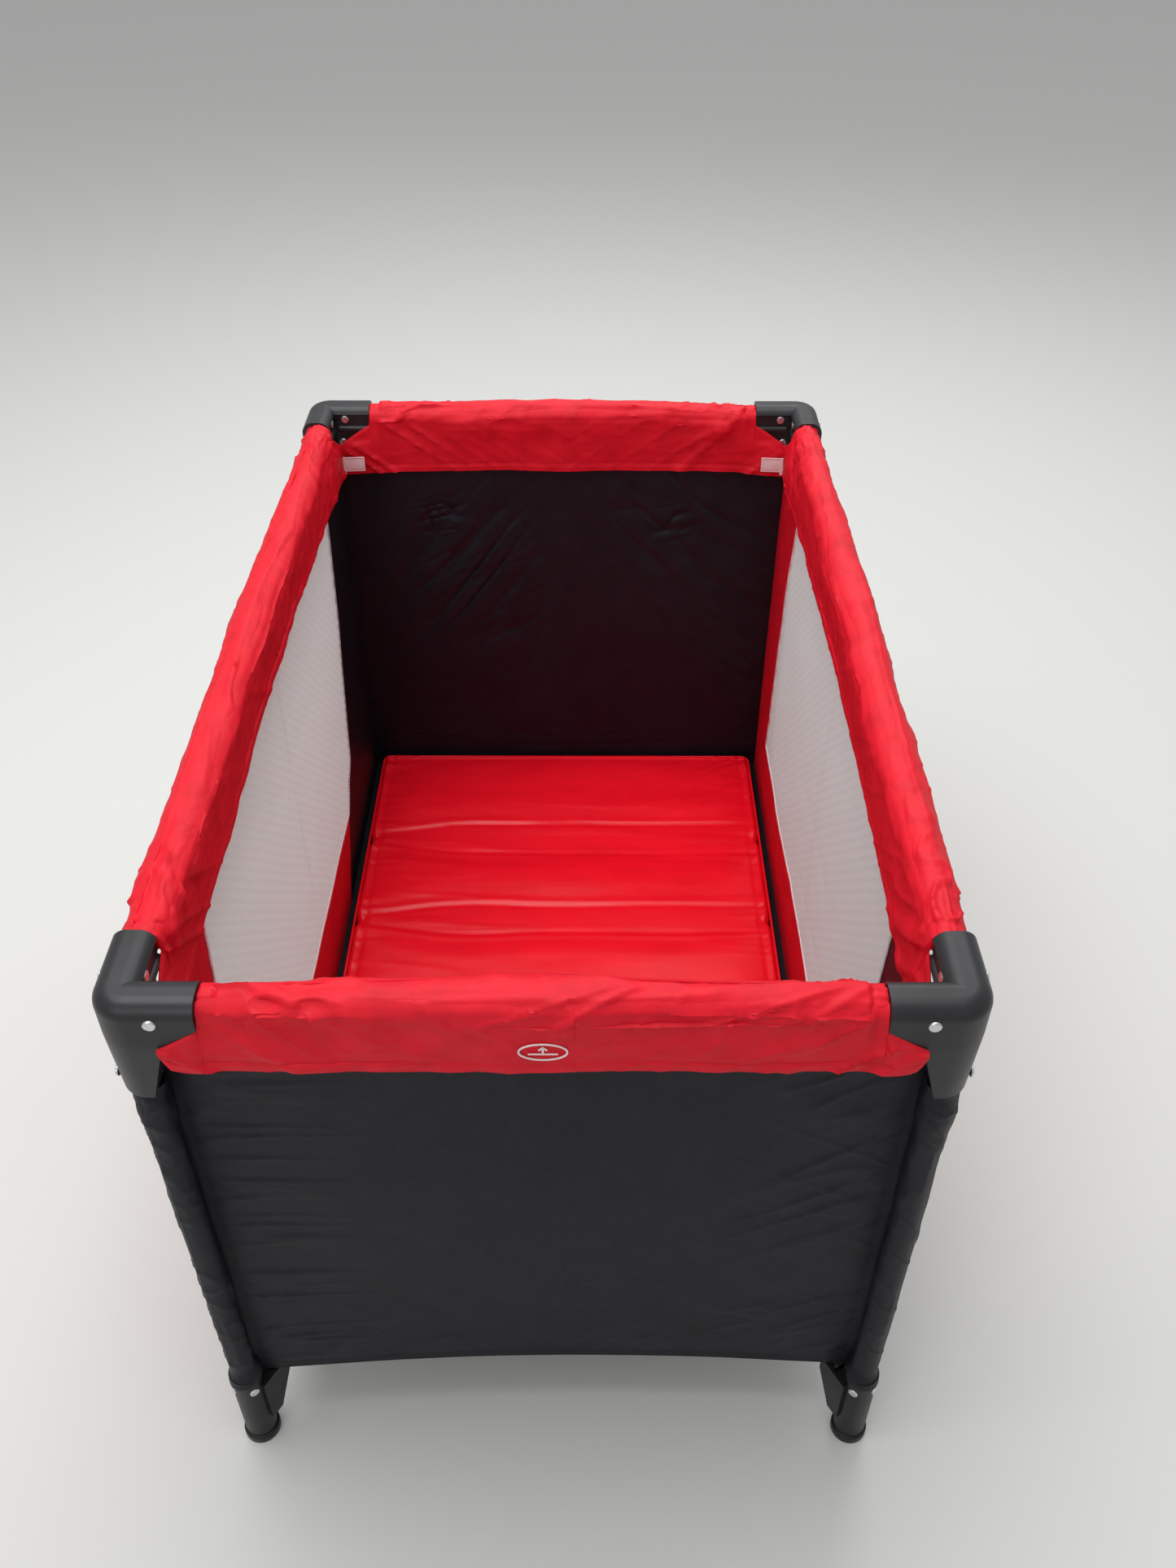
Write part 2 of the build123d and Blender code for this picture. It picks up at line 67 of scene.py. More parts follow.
def noise(x, y, seed=0):
    """Smooth noise from -1 to 1 over a plane."""
    x, y = np.broadcast_arrays(np.asarray(x, float), np.asarray(y, float))
    i, j = np.floor(x).astype(np.int64), np.floor(y).astype(np.int64)
    fx, fy = x - i, y - j
    u = fx * fx * fx * (fx * (fx * 6 - 15) + 10)
    v = fy * fy * fy * (fy * (fy * 6 - 15) + 10)
    a = hashed(i, j, seed) * (1 - u) + hashed(i + 1, j, seed) * u
    b = hashed(i, j + 1, seed) * (1 - u) + hashed(i + 1, j + 1, seed) * u
    return a * (1 - v) + b * v


def creases(x, y, seed=0, sharp=3.0):
    """Thin raised folds where the noise crosses zero, from 0 to 1."""
    return np.clip(1 - np.abs(noise(x, y, seed)) * 2.2, 0, 1) ** sharp


def folds(x, y, angle, wide, long, seed, sharp=2.0):
    """Folds that run along one direction in a sheet."""
    c, s = math.cos(angle), math.sin(angle)
    return creases((x * c + y * s) / long, (-x * s + y * c) / wide, seed, sharp)


def bump(x, centre, width):
    return np.exp(-(((x - centre) / width) ** 2))


def ease(x, a, b):
    t = np.clip((x - a) / (b - a), 0, 1)
    return t * t * (3 - 2 * t)


# ---------------------------------------------------------------- meshes
def make(name, verts, faces, material, smooth=True):
    mesh = bpy.data.meshes.new(name)
    mesh.from_pydata([tuple(v) for v in verts], [], [tuple(f) for f in faces])
    mesh.update()
    mesh.materials.append(material)
    mesh.polygons.foreach_set("use_smooth", [smooth] * len(mesh.polygons))
    obj = bpy.data.objects.new(name, mesh)
    scene.collection.objects.link(obj)
    return obj


def normals(p):
    """Unit normals of a grid of points (nu, nv, 3)."""
    du, dv = np.gradient(p, axis=0), np.gradient(p, axis=1)
    n = np.cross(du, dv)
    return n / np.maximum(np.linalg.norm(n, axis=2, keepdims=True), 1e-12)


def grid_quads(nu, nv):
    """The faces of a grid whose points are numbered row by row."""
    quads = []
    for i in range(nu - 1):
        for j in range(nv - 1):
            a = i * nv + j
            quads.append((a, a + nv, a + nv + 1, a + 1))
    return quads


def grid_rim(nu, nv):
    """The points round the edge of a grid, in order."""
    rim = [i * nv for i in range(nu)]
    rim += [(nu - 1) * nv + j for j in range(1, nv)]
    rim += [i * nv + nv - 1 for i in range(nu - 2, -1, -1)]
    return rim + list(range(nv - 2, 0, -1))


def thin(p, thick):
    """A closed sheet of a thickness about a grid of points: vertices and faces."""
    nu, nv = p.shape[:2]
    n = normals(p)
    thick = np.asarray(thick) * np.ones((nu, nv))
    half = n * thick[..., None] / 2
    verts = np.concatenate([(p + half).reshape(-1, 3), (p - half).reshape(-1, 3)])
    k = nu * nv
    faces = []
    for a, b, c, d in grid_quads(nu, nv):
        faces.append((a, b, c, d))
        faces.append((a + k, d + k, c + k, b + k))
    rim = grid_rim(nu, nv)
    for m, a in enumerate(rim):
        b = rim[(m + 1) % len(rim)]
        faces.append((a, a + k, b + k, b))
    return verts, faces


def crisp(obj, angle=0.9):
    """Marks the edges between faces that meet at more than an angle, so they shade apart."""
    mesh = obj.data
    turned = bmesh.new()
    turned.from_mesh(mesh)
    turned.normal_update()
    for edge in turned.edges:
        edge.smooth = edge.calc_face_angle(0.0) < angle
    turned.to_mesh(mesh)
    turned.free()
    return obj


def sheet_piece(name, p, thick, material):
    verts, faces = thin(p, thick)
    return crisp(make(name, verts, faces, material))


def tube_piece(name, rings, material, caps=True):
    """A closed skin over rings of points (n rings, m points, 3)."""
    n, m = rings.shape[:2]
    faces = []
    for i in range(n - 1):
        for j in range(m):
            k = (j + 1) % m
            faces.append((i * m + j, i * m + k, (i + 1) * m + k, (i + 1) * m + j))
    if caps:
        faces.append(tuple(range(m - 1, -1, -1)))
        faces.append(tuple((n - 1) * m + j for j in range(m)))
    else:
        for j in range(m):
            k = (j + 1) % m
            faces.append(((n - 1) * m + j, (n - 1) * m + k, k, j))
    return make(name, rings.reshape(-1, 3), faces, material)


def swept(path, radius, sides=8):
    """Rings of a round cord along a path of points."""
    path = np.asarray(path, float)
    t = np.gradient(path, axis=0)
    t /= np.linalg.norm(t, axis=1, keepdims=True)
    ref = np.array([0.0, 0.0, 1.0]) if abs(t[0][2]) < 0.9 else np.array([1.0, 0.0, 0.0])
    rings = []
    for q, d in zip(path, t):
        a = np.cross(d, ref)
        a /= np.linalg.norm(a)
        b = np.cross(a, d)
        ref = b
        ang = np.arange(sides) * 2 * math.pi / sides
        rings.append(q + radius * (np.cos(ang)[:, None] * a + np.sin(ang)[:, None] * b))
    return np.array(rings)


# ---------------------------------------------------------------- materials
def material(name, colour, rough, build=None, **sockets):
    mat = bpy.data.materials.new(name)
    mat.use_nodes = True
    tree = mat.node_tree
    shader = tree.nodes["Principled BSDF"]
    shader.inputs["Base Color"].default_value = (*colour, 1)
    shader.inputs["Roughness"].default_value = rough
    for key, value in sockets.items():
        shader.inputs[key.replace("_", " ")].default_value = value
    if build:
        build(tree, shader)
    return mat


def coords(tree, scale=(1, 1, 1)):
    tex = tree.nodes.new("ShaderNodeTexCoord")
    mapping = tree.nodes.new("ShaderNodeMapping")
    mapping.inputs["Scale"].default_value = scale
    tree.links.new(tex.outputs["Object"], mapping.inputs["Vector"])
    return mapping.outputs["Vector"]


def noise_node(tree, vector, scale, detail=3.0, rough=0.5):
    node = tree.nodes.new("ShaderNodeTexNoise")
    node.inputs["Scale"].default_value = scale
    node.inputs["Detail"].default_value = detail
    node.inputs["Roughness"].default_value = rough
    tree.links.new(vector, node.inputs["Vector"])
    return node.outputs["Fac"]


def wave_node(tree, vector, scale, axis, distortion=0.0):
    node = tree.nodes.new("ShaderNodeTexWave")
    node.bands_direction = axis
    node.inputs["Scale"].default_value = scale
    node.inputs["Distortion"].default_value = distortion
    tree.links.new(vector, node.inputs["Vector"])
    return node.outputs["Fac"]


def math_node(tree, kind, a, b):
    node = tree.nodes.new("ShaderNodeMath")
    node.operation = kind
    for k, v in ((0, a), (1, b)):
        if isinstance(v, (int, float)):
            node.inputs[k].default_value = v
        else:
            tree.links.new(v, node.inputs[k])
    return node.outputs[0]


def ramp_node(tree, fac, stops):
    node = tree.nodes.new("ShaderNodeValToRGB")
    ramp = node.color_ramp
    while len(ramp.elements) < len(stops):
        ramp.elements.new(0.5)
    for e, (pos, colour) in zip(ramp.elements, stops):
        e.position = pos
        e.color = (*colour, 1)
    tree.links.new(fac, node.inputs["Fac"])
    return node.outputs["Color"]


def bump_node(tree, shader, height, strength, distance, below=None):
    node = tree.nodes.new("ShaderNodeBump")
    node.inputs["Strength"].default_value = strength
    node.inputs["Distance"].default_value = distance
    tree.links.new(height, node.inputs["Height"])
    if below:
        tree.links.new(below, node.inputs["Normal"])
    tree.links.new(node.outputs["Normal"], shader.inputs["Normal"])
    return node.outputs["Normal"]


def woven(colour, dark, weave=1500.0, slub=35.0, crinkle=0.25, rough=(0.55, 0.75)):
    """Woven nylon: a fine weave, slubs, soft crinkles and slightly uneven dye."""
    def build(tree, shader):
        vec = coords(tree)
        warp = wave_node(tree, vec, weave, "X")
        weft = wave_node(tree, vec, weave, "Z")
        deep = wave_node(tree, vec, weave, "Y")
        cloth = math_node(tree, "ADD", math_node(tree, "MULTIPLY", warp, deep), weft)
        soft = noise_node(tree, vec, slub, 5.0, 0.6)
        fine = noise_node(tree, vec, slub * 7, 3.0, 0.6)
        tint = ramp_node(tree, soft, [(0.3, dark), (0.7, colour)])
        tree.links.new(tint, shader.inputs["Base Color"])
        low, high = rough
        spread = math_node(tree, "MULTIPLY", fine, high - low)
        tree.links.new(math_node(tree, "ADD", spread, low), shader.inputs["Roughness"])
        first = bump_node(tree, shader, soft, crinkle, 0.0012)
        second = bump_node(tree, shader, fine, crinkle * 0.8, 0.0005, first)
        bump_node(tree, shader, cloth, 0.15, 0.0002, second)
    return build


def moulded(grain=900.0, wear=(0.009, 0.009, 0.010), base=(0.015, 0.0155, 0.018)):
    """Moulded plastic: a fine spark-eroded grain and faint scuffs."""
    def build(tree, shader):
        vec = coords(tree)
        fine = noise_node(tree, vec, grain, 2.0)
        broad = noise_node(tree, vec, 22.0, 4.0)
        tint = ramp_node(tree, broad, [(0.35, base), (0.75, wear)])
        tree.links.new(tint, shader.inputs["Base Color"])
        spread = math_node(tree, "MULTIPLY", broad, 0.22)
        tree.links.new(math_node(tree, "ADD", spread, 0.3), shader.inputs["Roughness"])
        bump_node(tree, shader, fine, 0.25, 0.0002)
    return build


def metal(tree, shader):
    """Plated steel with a fine uneven tone."""
    vec = coords(tree, (1, 1, 4))
    fine = noise_node(tree, vec, 400.0, 3.0)
    tint = ramp_node(tree, fine, [(0.3, (0.5, 0.5, 0.52)), (0.7, (0.8, 0.8, 0.82))])
    tree.links.new(tint, shader.inputs["Base Color"])
    bump_node(tree, shader, fine, 0.1, 0.0002)


def vinyl(tree, shader):
    """Glossy coated cloth: creased film over a soft core."""
    vec = coords(tree)
    wide = coords(tree, (1, 3.2, 1))
    broad = noise_node(tree, wide, 9.0, 4.0, 0.55)
    fine = noise_node(tree, vec, 60.0, 4.0, 0.6)
    grain = noise_node(tree, vec, 1400.0, 1.0)
    tint = ramp_node(tree, broad, [(0.3, (0.76, 0.003, 0.013)), (0.7, (0.87, 0.005, 0.018))])
    tree.links.new(tint, shader.inputs["Base Color"])
    spread = math_node(tree, "MULTIPLY", fine, 0.14)
    tree.links.new(math_node(tree, "ADD", spread, 0.24), shader.inputs["Roughness"])
    first = bump_node(tree, shader, broad, 0.22, 0.003)
    second = bump_node(tree, shader, fine, 0.10, 0.0008, first)
    bump_node(tree, shader, grain, 0.1, 0.0001, second)


def netting(tree, shader):
    """Warp-knit mesh: rows of small holes between fine ribs."""
    vec = coords(tree)
    rows = wave_node(tree, vec, 62.0, "Z")
    posts = wave_node(tree, vec, 110.0, "Y")
    slant = wave_node(tree, vec, 40.0, "DIAGONAL")
    holes = math_node(tree, "MULTIPLY", rows, posts)
    knit = math_node(tree, "GREATER_THAN", holes, 0.80)
    lean = math_node(tree, "MULTIPLY", slant, 0.4)
    ribs = math_node(tree, "MULTIPLY", rows, math_node(tree, "ADD", 0.6, lean))
    tint = ramp_node(tree, ribs, [(0.0, (0.50, 0.50, 0.50)), (0.8, (0.93, 0.93, 0.93))])
    tree.links.new(tint, shader.inputs["Base Color"])
    solid = math_node(tree, "SUBTRACT", 1.0, math_node(tree, "MULTIPLY", knit, 0.8))
    tree.links.new(solid, shader.inputs["Alpha"])
    bump_node(tree, shader, ribs, 0.5, 0.0008)
    through = tree.nodes.new("ShaderNodeBsdfTranslucent")
    through.inputs["Color"].default_value = (0.88, 0.88, 0.88, 1)
    clear = tree.nodes.new("ShaderNodeBsdfTransparent")
    lit = tree.nodes.new("ShaderNodeMixShader")
    lit.inputs["Fac"].default_value = 0.5
    tree.links.new(shader.outputs[0], lit.inputs[1])
    tree.links.new(through.outputs[0], lit.inputs[2])
    open_mesh = tree.nodes.new("ShaderNodeMixShader")
    open_mesh.inputs["Fac"].default_value = 0.20
    tree.links.new(lit.outputs[0], open_mesh.inputs[1])
    tree.links.new(clear.outputs[0], open_mesh.inputs[2])
    tree.links.new(open_mesh.outputs[0], tree.nodes["Material Output"].inputs["Surface"])


def thread(colour, gap):
    """Overlock stitching: slanted threads across a narrow strip."""
    def build(tree, shader):
        vec = coords(tree)
        level = wave_node(tree, vec, 95.0, "Z")
        upright = wave_node(tree, vec, 95.0, "Y")
        rows = math_node(tree, "MAXIMUM", level, upright)
        tint = ramp_node(tree, rows, [(0.35, gap), (0.6, colour)])
        tree.links.new(tint, shader.inputs["Base Color"])
        bump_node(tree, shader, rows, 0.8, 0.0008)
    return build


RED = (0.66, 0.005, 0.019)
RED_DARK = (0.53, 0.003, 0.013)
BLACK = (0.0100, 0.0097, 0.0150)
BLACK_DARK = (0.0060, 0.0056, 0.0088)
mats = {
    "red": material("red_nylon", RED, 0.6, woven(RED, RED_DARK, rough=(0.42, 0.62)),
                    Specular_IOR_Level=0.22),
    "black": material("black_nylon", BLACK, 0.6,
                      woven(BLACK, BLACK_DARK, slub=28.0, rough=(0.38, 0.58)),
                      Specular_IOR_Level=0.20),
    "hem": material("hem_binding", (0.012, 0.012, 0.014), 0.6,
                    woven((0.008, 0.008, 0.009), (0.004, 0.004, 0.005), weave=700.0),
                    Specular_IOR_Level=0.25),
    "mesh": material("white_mesh", (0.8, 0.8, 0.79), 0.7, netting),
    "vinyl": material("red_vinyl", RED, 0.28, vinyl, Specular_IOR_Level=0.32),
    "plastic": material("bracket_plastic", (0.022, 0.023, 0.027), 0.4, moulded(),
                        Specular_IOR_Level=0.4),
    "foot": material("foot_plastic", (0.02, 0.02, 0.022), 0.5,
                     moulded(700.0, (0.004, 0.004, 0.005), (0.008, 0.008, 0.009)),
                     Specular_IOR_Level=0.3),
    "steel": material("frame_steel", (0.035, 0.035, 0.038), 0.35,
                      moulded(1200.0, (0.02, 0.02, 0.022), (0.045, 0.045, 0.05)), Metallic=0.3),
    "rivet": material("rivet_steel", (0.7, 0.7, 0.72), 0.28, metal, Metallic=0.9),
    "pink": material("overlock_red", (0.8, 0.4, 0.42), 0.7,
                     thread((0.82, 0.66, 0.68), (0.55, 0.02, 0.04))),
    "grey": material("overlock_black", (0.4, 0.4, 0.4), 0.7,
                     thread((0.66, 0.66, 0.66), (0.03, 0.03, 0.035))),
    "tab": material("webbing_tab", (0.75, 0.62, 0.63), 0.75,
                    woven((0.82, 0.70, 0.71), (0.68, 0.52, 0.54), weave=520.0)),
    "tabstitch": material("tab_stitch", (0.6, 0.05, 0.08), 0.7,
                          woven((0.62, 0.2, 0.22), (0.5, 0.1, 0.12))),
    "print": material("white_print", (0.78, 0.70, 0.70), 0.6,
                      woven((0.8, 0.72, 0.72), (0.7, 0.58, 0.58), weave=900.0)),
    "strap": material("strap_webbing", (0.03, 0.03, 0.033), 0.7,
                      woven((0.035, 0.035, 0.038), (0.02, 0.02, 0.023), weave=500.0)),
    "button": material("button_red", (0.5, 0.01, 0.02), 0.35,
                       moulded(900.0, (0.4, 0.01, 0.015), (0.55, 0.012, 0.02))),
}


# ---------------------------------------------------------------- rails
def directions(kind, sx, sy):
    """Along a half rail from the middle, outwards from the cot, and how far out its axis is."""
    if kind == "x":
        return np.array([sx, 0.0, 0.0]), np.array([0.0, sy, 0.0]), LY
    return np.array([0.0, sy, 0.0]), np.array([sx, 0.0, 0.0]), LX


def place(kind, sx, sy, s, t, z):
    """Points s along a half rail, t outwards from its axis, at height z."""
    run, out, level = directions(kind, sx, sy)
    s, t, z = np.broadcast_arrays(s, t, z)
    upright = np.array([0.0, 0.0, 1.0])
    return s[..., None] * run + (t[..., None] + level) * out + z[..., None] * upright


def corner_key(sx, sy):
    return ("f" if sy < 0 else "b") + ("l" if sx < 0 else "r")


def pair_name(kind, sx, sy):
    """A half rail's name: its own wall first, then the leg that it hangs from."""
    end = "front" if sy < 0 else "back"
    side = "left" if sx < 0 else "right"
    return end + "_" + side if kind == "x" else side + "_" + end


def world_s(kind, sx, sy, s):
    """Signed place along the whole rail, so that both halves read the same wrinkles."""
    return (sx if kind == "x" else sy) * s


def seed_of(kind, sx, sy):
    return {"x": 11, "y": 23}[kind] + (sy if kind == "x" else sx) * 3


FRONT_SEED = seed_of("x", 1, -1)
DIMPLES = ((-0.217, 0.80), (-0.181, 0.70))   # place along the front rail, angle up round the roll
DRAWN_FOLDS = (                              # place along it, lean, height
    (0.062, -0.040, 0.0030),
    (0.040, -0.070, 0.0022),
    (0.215, -0.060, 0.0034),
    (0.246, -0.030, 0.0026),
)


def front_dents(w, a):
    """Dimples pressed into the front cover's left end, and folds drawn down from its top."""
    h = np.zeros(np.broadcast(w, a).shape)
    for at, up in DIMPLES:
        reach = np.sqrt(((w - at) / 0.011) ** 2 + ((a - up) / 0.30) ** 2)
        h += 0.0028 * np.exp(-(((reach - 1.3) / 0.5) ** 2)) - 0.0042 * np.exp(-(reach ** 2))
    for at, lean, height in DRAWN_FOLDS:
        line = at + lean * (1.25 - a)
        ends = ease(a, -0.6, 0.2) * (1 - ease(a, 1.3, 1.9))
        h += height * np.exp(-(((w - line) / 0.0058) ** 2)) * ends
    return h


def cover_swell(w, a, seed, length):
    """Lumps and folds of a padded roll, in metres; w along the whole rail, a round it."""
    near = ease(np.abs(w), length - 0.16, length - 0.02)
    lump = 0.0017 * noise(w / 0.12, a * 0.7, seed) + 0.0011 * noise(w / 0.04, a * 1.1, seed + 1)
    slope = a * 0.35 + 0.6 * noise(w / 0.15, a * 0.5, seed + 5)
    pleat = creases(w / 0.034 + slope, a * 0.8, seed + 2, 2.2) * (0.0010 + 0.0024 * near)
    long_fold = creases(w / 0.3, a * 1.3 + 2, seed + 6, 2.5) * 0.0016
    fine = creases(w / 0.016 + a * 0.8, a * 1.6, seed + 3, 3.0) * (0.0005 + 0.0009 * near)
    dents = front_dents(w, a) if seed == FRONT_SEED else 0.0
    return (lump + pleat + fine + long_fold) * 1.35 + dents


def roll_radius(s, end):
    """The roll is fullest in the middle of its rail and thins towards the brackets."""
    places = [0.0, 0.2, 0.45, 0.7, 0.9, 1.0]
    return np.interp(s / end, places, [0.0222, 0.0215, 0.0192, 0.0172, 0.0160, 0.0152])


def fold_squash(obj, kind):
    """Gives a piece of cloth its own copy of its mesh; both kinds are treated alike."""
    if kind == "x":
        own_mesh(obj)
    else:
        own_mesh(obj)


def make_roll(kind, sx, sy):
    """The padded cover of a half rail, hollow for its tube, with a hem ring at the bracket."""
    name = pair_name(kind, sx, sy)
    end = END[kind]
    count = int(end / 0.004)
    s = np.concatenate([np.linspace(0.0, end - 0.02, count), np.linspace(end - 0.018, end - 0.0006, 10)])
    m = 56
    a = np.arange(m) * 2 * math.pi / m
    S, A = np.meshgrid(s, a, indexing="ij")
    seed = seed_of(kind, sx, sy)
    w = world_s(kind, sx, sy, S)
    swell = cover_swell(w, A, seed, end)
    cuff = ease(S, end - 0.0150, end - 0.0115)
    crease = bump(S, end - 0.0135, 0.0016) * 0.0020
    pucker = cuff * 0.0005 * np.sin(A * 17 + 2 * np.sin(A * 3))
    full = roll_radius(S, end)
    radius = full + swell * (1 - cuff * 0.75) - crease + pucker
    radius = np.minimum(radius, full + 0.0050)
    radius *= 1 - 0.05 * bump(S, end, 0.0015)
    drop = np.where(np.sin(A) < 0, 0.0122 / full, 1.0)
    outer = place(kind, sx, sy, S, radius * np.cos(A), RZ + radius * np.sin(A) * drop)
    inner_s = np.array([end - 0.0006, 0.042, 0.0405, 0.0])
    radii = np.array([0.0105, 0.0105, 0.0185, 0.0185])
    S2, A2 = np.meshgrid(inner_s, a, indexing="ij")
    R2 = np.broadcast_to(radii[:, None], S2.shape)
    low = np.where(np.sin(A2) < 0, np.minimum(1.0, 0.0112 / R2), 1.0)
    inner = place(kind, sx, sy, S2, R2 * np.cos(A2), RZ + R2 * np.sin(A2) * low)
    rings = np.concatenate([outer, inner])
    obj = crisp(tube_piece("roll_" + name, rings, mats["red"], caps=False), 1.2)
    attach(obj, "rail_" + name)
    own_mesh(obj)
    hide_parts("rail_cover_" + name)


def make_skirt(kind, sx, sy, outside):
    """The cloth that hangs from the roll, on one face of the wall, with its hem."""
    name = pair_name(kind, sx, sy)
    end = END[kind]
    seed = seed_of(kind, sx, sy) + (40 if outside else 60)
    start = 0.0
    if outside and kind == "x" and sy < 0:
        start = -0.025 if sx < 0 else 0.025
    leg = LX if kind == "x" else LY
    last = leg - (0.0285 if outside else 0.0165)
    n_s = int((last - start) / 0.004)
    s = np.linspace(start, last, n_s)
    s = np.sort(np.concatenate([s, [end - 0.001, end + 0.0006]]))
    v = np.linspace(0, 1, 36)
    S, V = np.meshgrid(s, v, indexing="ij")
    w = world_s(kind, sx, sy, S)
    if outside:
        top = np.interp(S, [end - 0.001, end + 0.0006, leg - 0.0335, leg - 0.0285],
                        [0.0, 0.7265, 0.7095, 0.7068])
        hem = np.interp(S, [0, leg - 0.075, leg - 0.05, leg - 0.0350, leg - 0.0285],
                        [0.6812, 0.6820, 0.6828, 0.6862, 0.7050])
    else:
        top = np.interp(S, [end - 0.001, end + 0.0006, leg - 0.047, leg - 0.034, leg - 0.022, leg - 0.0165],
                        [0.0, 0.729, 0.7195, 0.7105, 0.7020, 0.6960])
        rise = 0.0 if kind == "x" else 0.020 * (1 - (S / last) ** 2)
        hem = np.interp(S, [0, leg - 0.09, leg - 0.0165], [0.6635, 0.6615, 0.6555]) + rise
    hem = hem + 0.0015 * noise(w / 0.09, 3.0, seed)
    full = roll_radius(S, end)
    top = np.where(S <= end, RZ + 0.84 * full, top)
    z = top + (hem - top) * V
    side = 1.0 if outside else -1.0
    rise = np.clip((z - RZ) / full, 0.0, 0.9)
    around = np.arcsin(rise) if outside else math.pi - np.arcsin(rise)
    swell = cover_swell(w, around, seed_of(kind, sx, sy), end)
    cuff = ease(S, end - 0.0150, end - 0.0115)
    face = (full + 0.0007 + swell * (1 - cuff * 0.75)) * np.sqrt(1 - rise ** 2)
    onto = ease(z, 0.700, 0.732)
    beyond = ease(S, end - 0.004, end + 0.006)
    rest = 0.0229 if outside else 0.0205
    lean = rest * (1 - onto) + np.minimum(face, 0.0272) * onto
    clear = (0.0241 if outside else 0.0165) + 0.0015 * (1 - onto)
    lean = lean * (1 - beyond) + np.maximum(clear, rest * (1 - onto)) * beyond
    tuck = -0.0018 * (1 - ease(V, 0.0, 0.05))
    hang = ease(V, 0.12, 0.7)
    near = ease(np.abs(w), end - 0.16, end)
    wave = 0.0019 * noise(w / 0.07, z / 0.2, seed + 1) + 0.0010 * noise(w / 0.028, z / 0.08, seed + 2)
    angle = 0.62 * (sx if kind == "x" else sy)
    c, q = np.cos(angle), np.sin(angle)
    d = creases((w * c + z * q) / 0.16, (-w * q + z * c) / 0.017, seed + 3, 2.0)
    slant = ease(V, 0.1, 0.3) * d * (0.0010 + 0.0028 * near)
    fine = 0.0006 * creases(w / 0.03, z / 0.012, seed + 4, 2.0) * ease(V, 0.1, 0.3)
    band = ease(hem + 0.0095 - z, -0.0006, 0.0006)
    stitch = bump(z, hem + 0.0095, 0.0009) * 0.0011
    t = side * (lean + hang * wave + slant * 1.3 + fine + tuck + band * 0.0005 - stitch)
    t = np.clip(t, -SKIRT_OUTEST, SKIRT_OUTEST)
    p = place(kind, sx, sy, S, t, z)
    word = "skirt_out_" if outside else "skirt_in_"
    obj = sheet_piece(word + name, p, 0.0011 + 0.0007 * band, mats["red"])
    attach(obj, "leg_" + corner_key(sx, sy))
    fold_squash(obj, kind)


# ---------------------------------------------------------------- walls
def end_wrinkles(x, z, sy):
    """How far an end panel stands off its plane, outwards positive, in metres."""
    u = x / LX
    seed = 90 if sy < 0 else 140
    h = 0.0016 * noise(x / 0.16, z / 0.2, seed) + 0.0006 * noise(x / 0.05, z / 0.06, seed + 1)
    edge_l, edge_r = ease(-u, 0.45, 0.92), ease(u, 0.35, 0.9)
    if sy < 0:
        h = h + edge_l * 0.0024 * creases(x / 0.2, z / 0.016, seed + 2, 1.6)
        h = h + edge_r * 0.0022 * folds(x, z, 0.55, 0.026, 0.2, seed + 3)
        h = h + edge_r * 0.0014 * folds(x, z, -0.5, 0.03, 0.16, seed + 4)
        low = ease(-(z - 0.165), -0.12, 0.0)
        h = h + 0.0018 * low * folds(x, z, 0.9, 0.03, 0.12, seed + 5) * (0.3 + edge_l)
    else:
        left = bump(x, -0.14, 0.11) * bump(z, 0.48, 0.15)
        right = bump(x, 0.15, 0.10) * bump(z, 0.58, 0.11)
        h = h + left * 0.0046 * folds(x, z, 0.95, 0.024, 0.18, seed + 2, 1.7)
        h = h + left * 0.0020 * folds(x, z, 0.55, 0.014, 0.09, seed + 8, 1.7)
        h = h + right * 0.0042 * folds(x, z, -0.75, 0.022, 0.14, seed + 3, 1.7)
        h = h + edge_r * 0.0020 * folds(x, z, -0.6, 0.03, 0.22, seed + 9)
        knot_l = bump(x, -0.185, 0.035) * bump(z, 0.585, 0.03)
        knot_r = bump(x, 0.165, 0.035) * bump(z, 0.575, 0.03)
        h = h + (knot_l + knot_r) * 0.0048 * folds(x, z, 0.25, 0.011, 0.035, seed + 6, 1.3)
        h = h + bump(z, 0.175, 0.02) * 0.0018 * creases(x / 0.12, z / 0.012, seed + 7, 1.8)
    return h


def under_bracket(s, end, last):
    """The top edge of a wall: under the rail, then stepping down below the bracket."""
    places = [end - 0.003, end + 0.016, end + 0.029, end + 0.041, last]
    return np.interp(s, places, [WALL_TOP, 0.7085, 0.6965, 0.6878, 0.6862])


def floor_bow(u, sy):
    """How far in the foot of an end wall is drawn; u is the place across it, from -1 to 1."""
    return 0.0148 * (1 - u * u) + 0.0035 * u if sy < 0 else 0.004 * (1 - u * u)


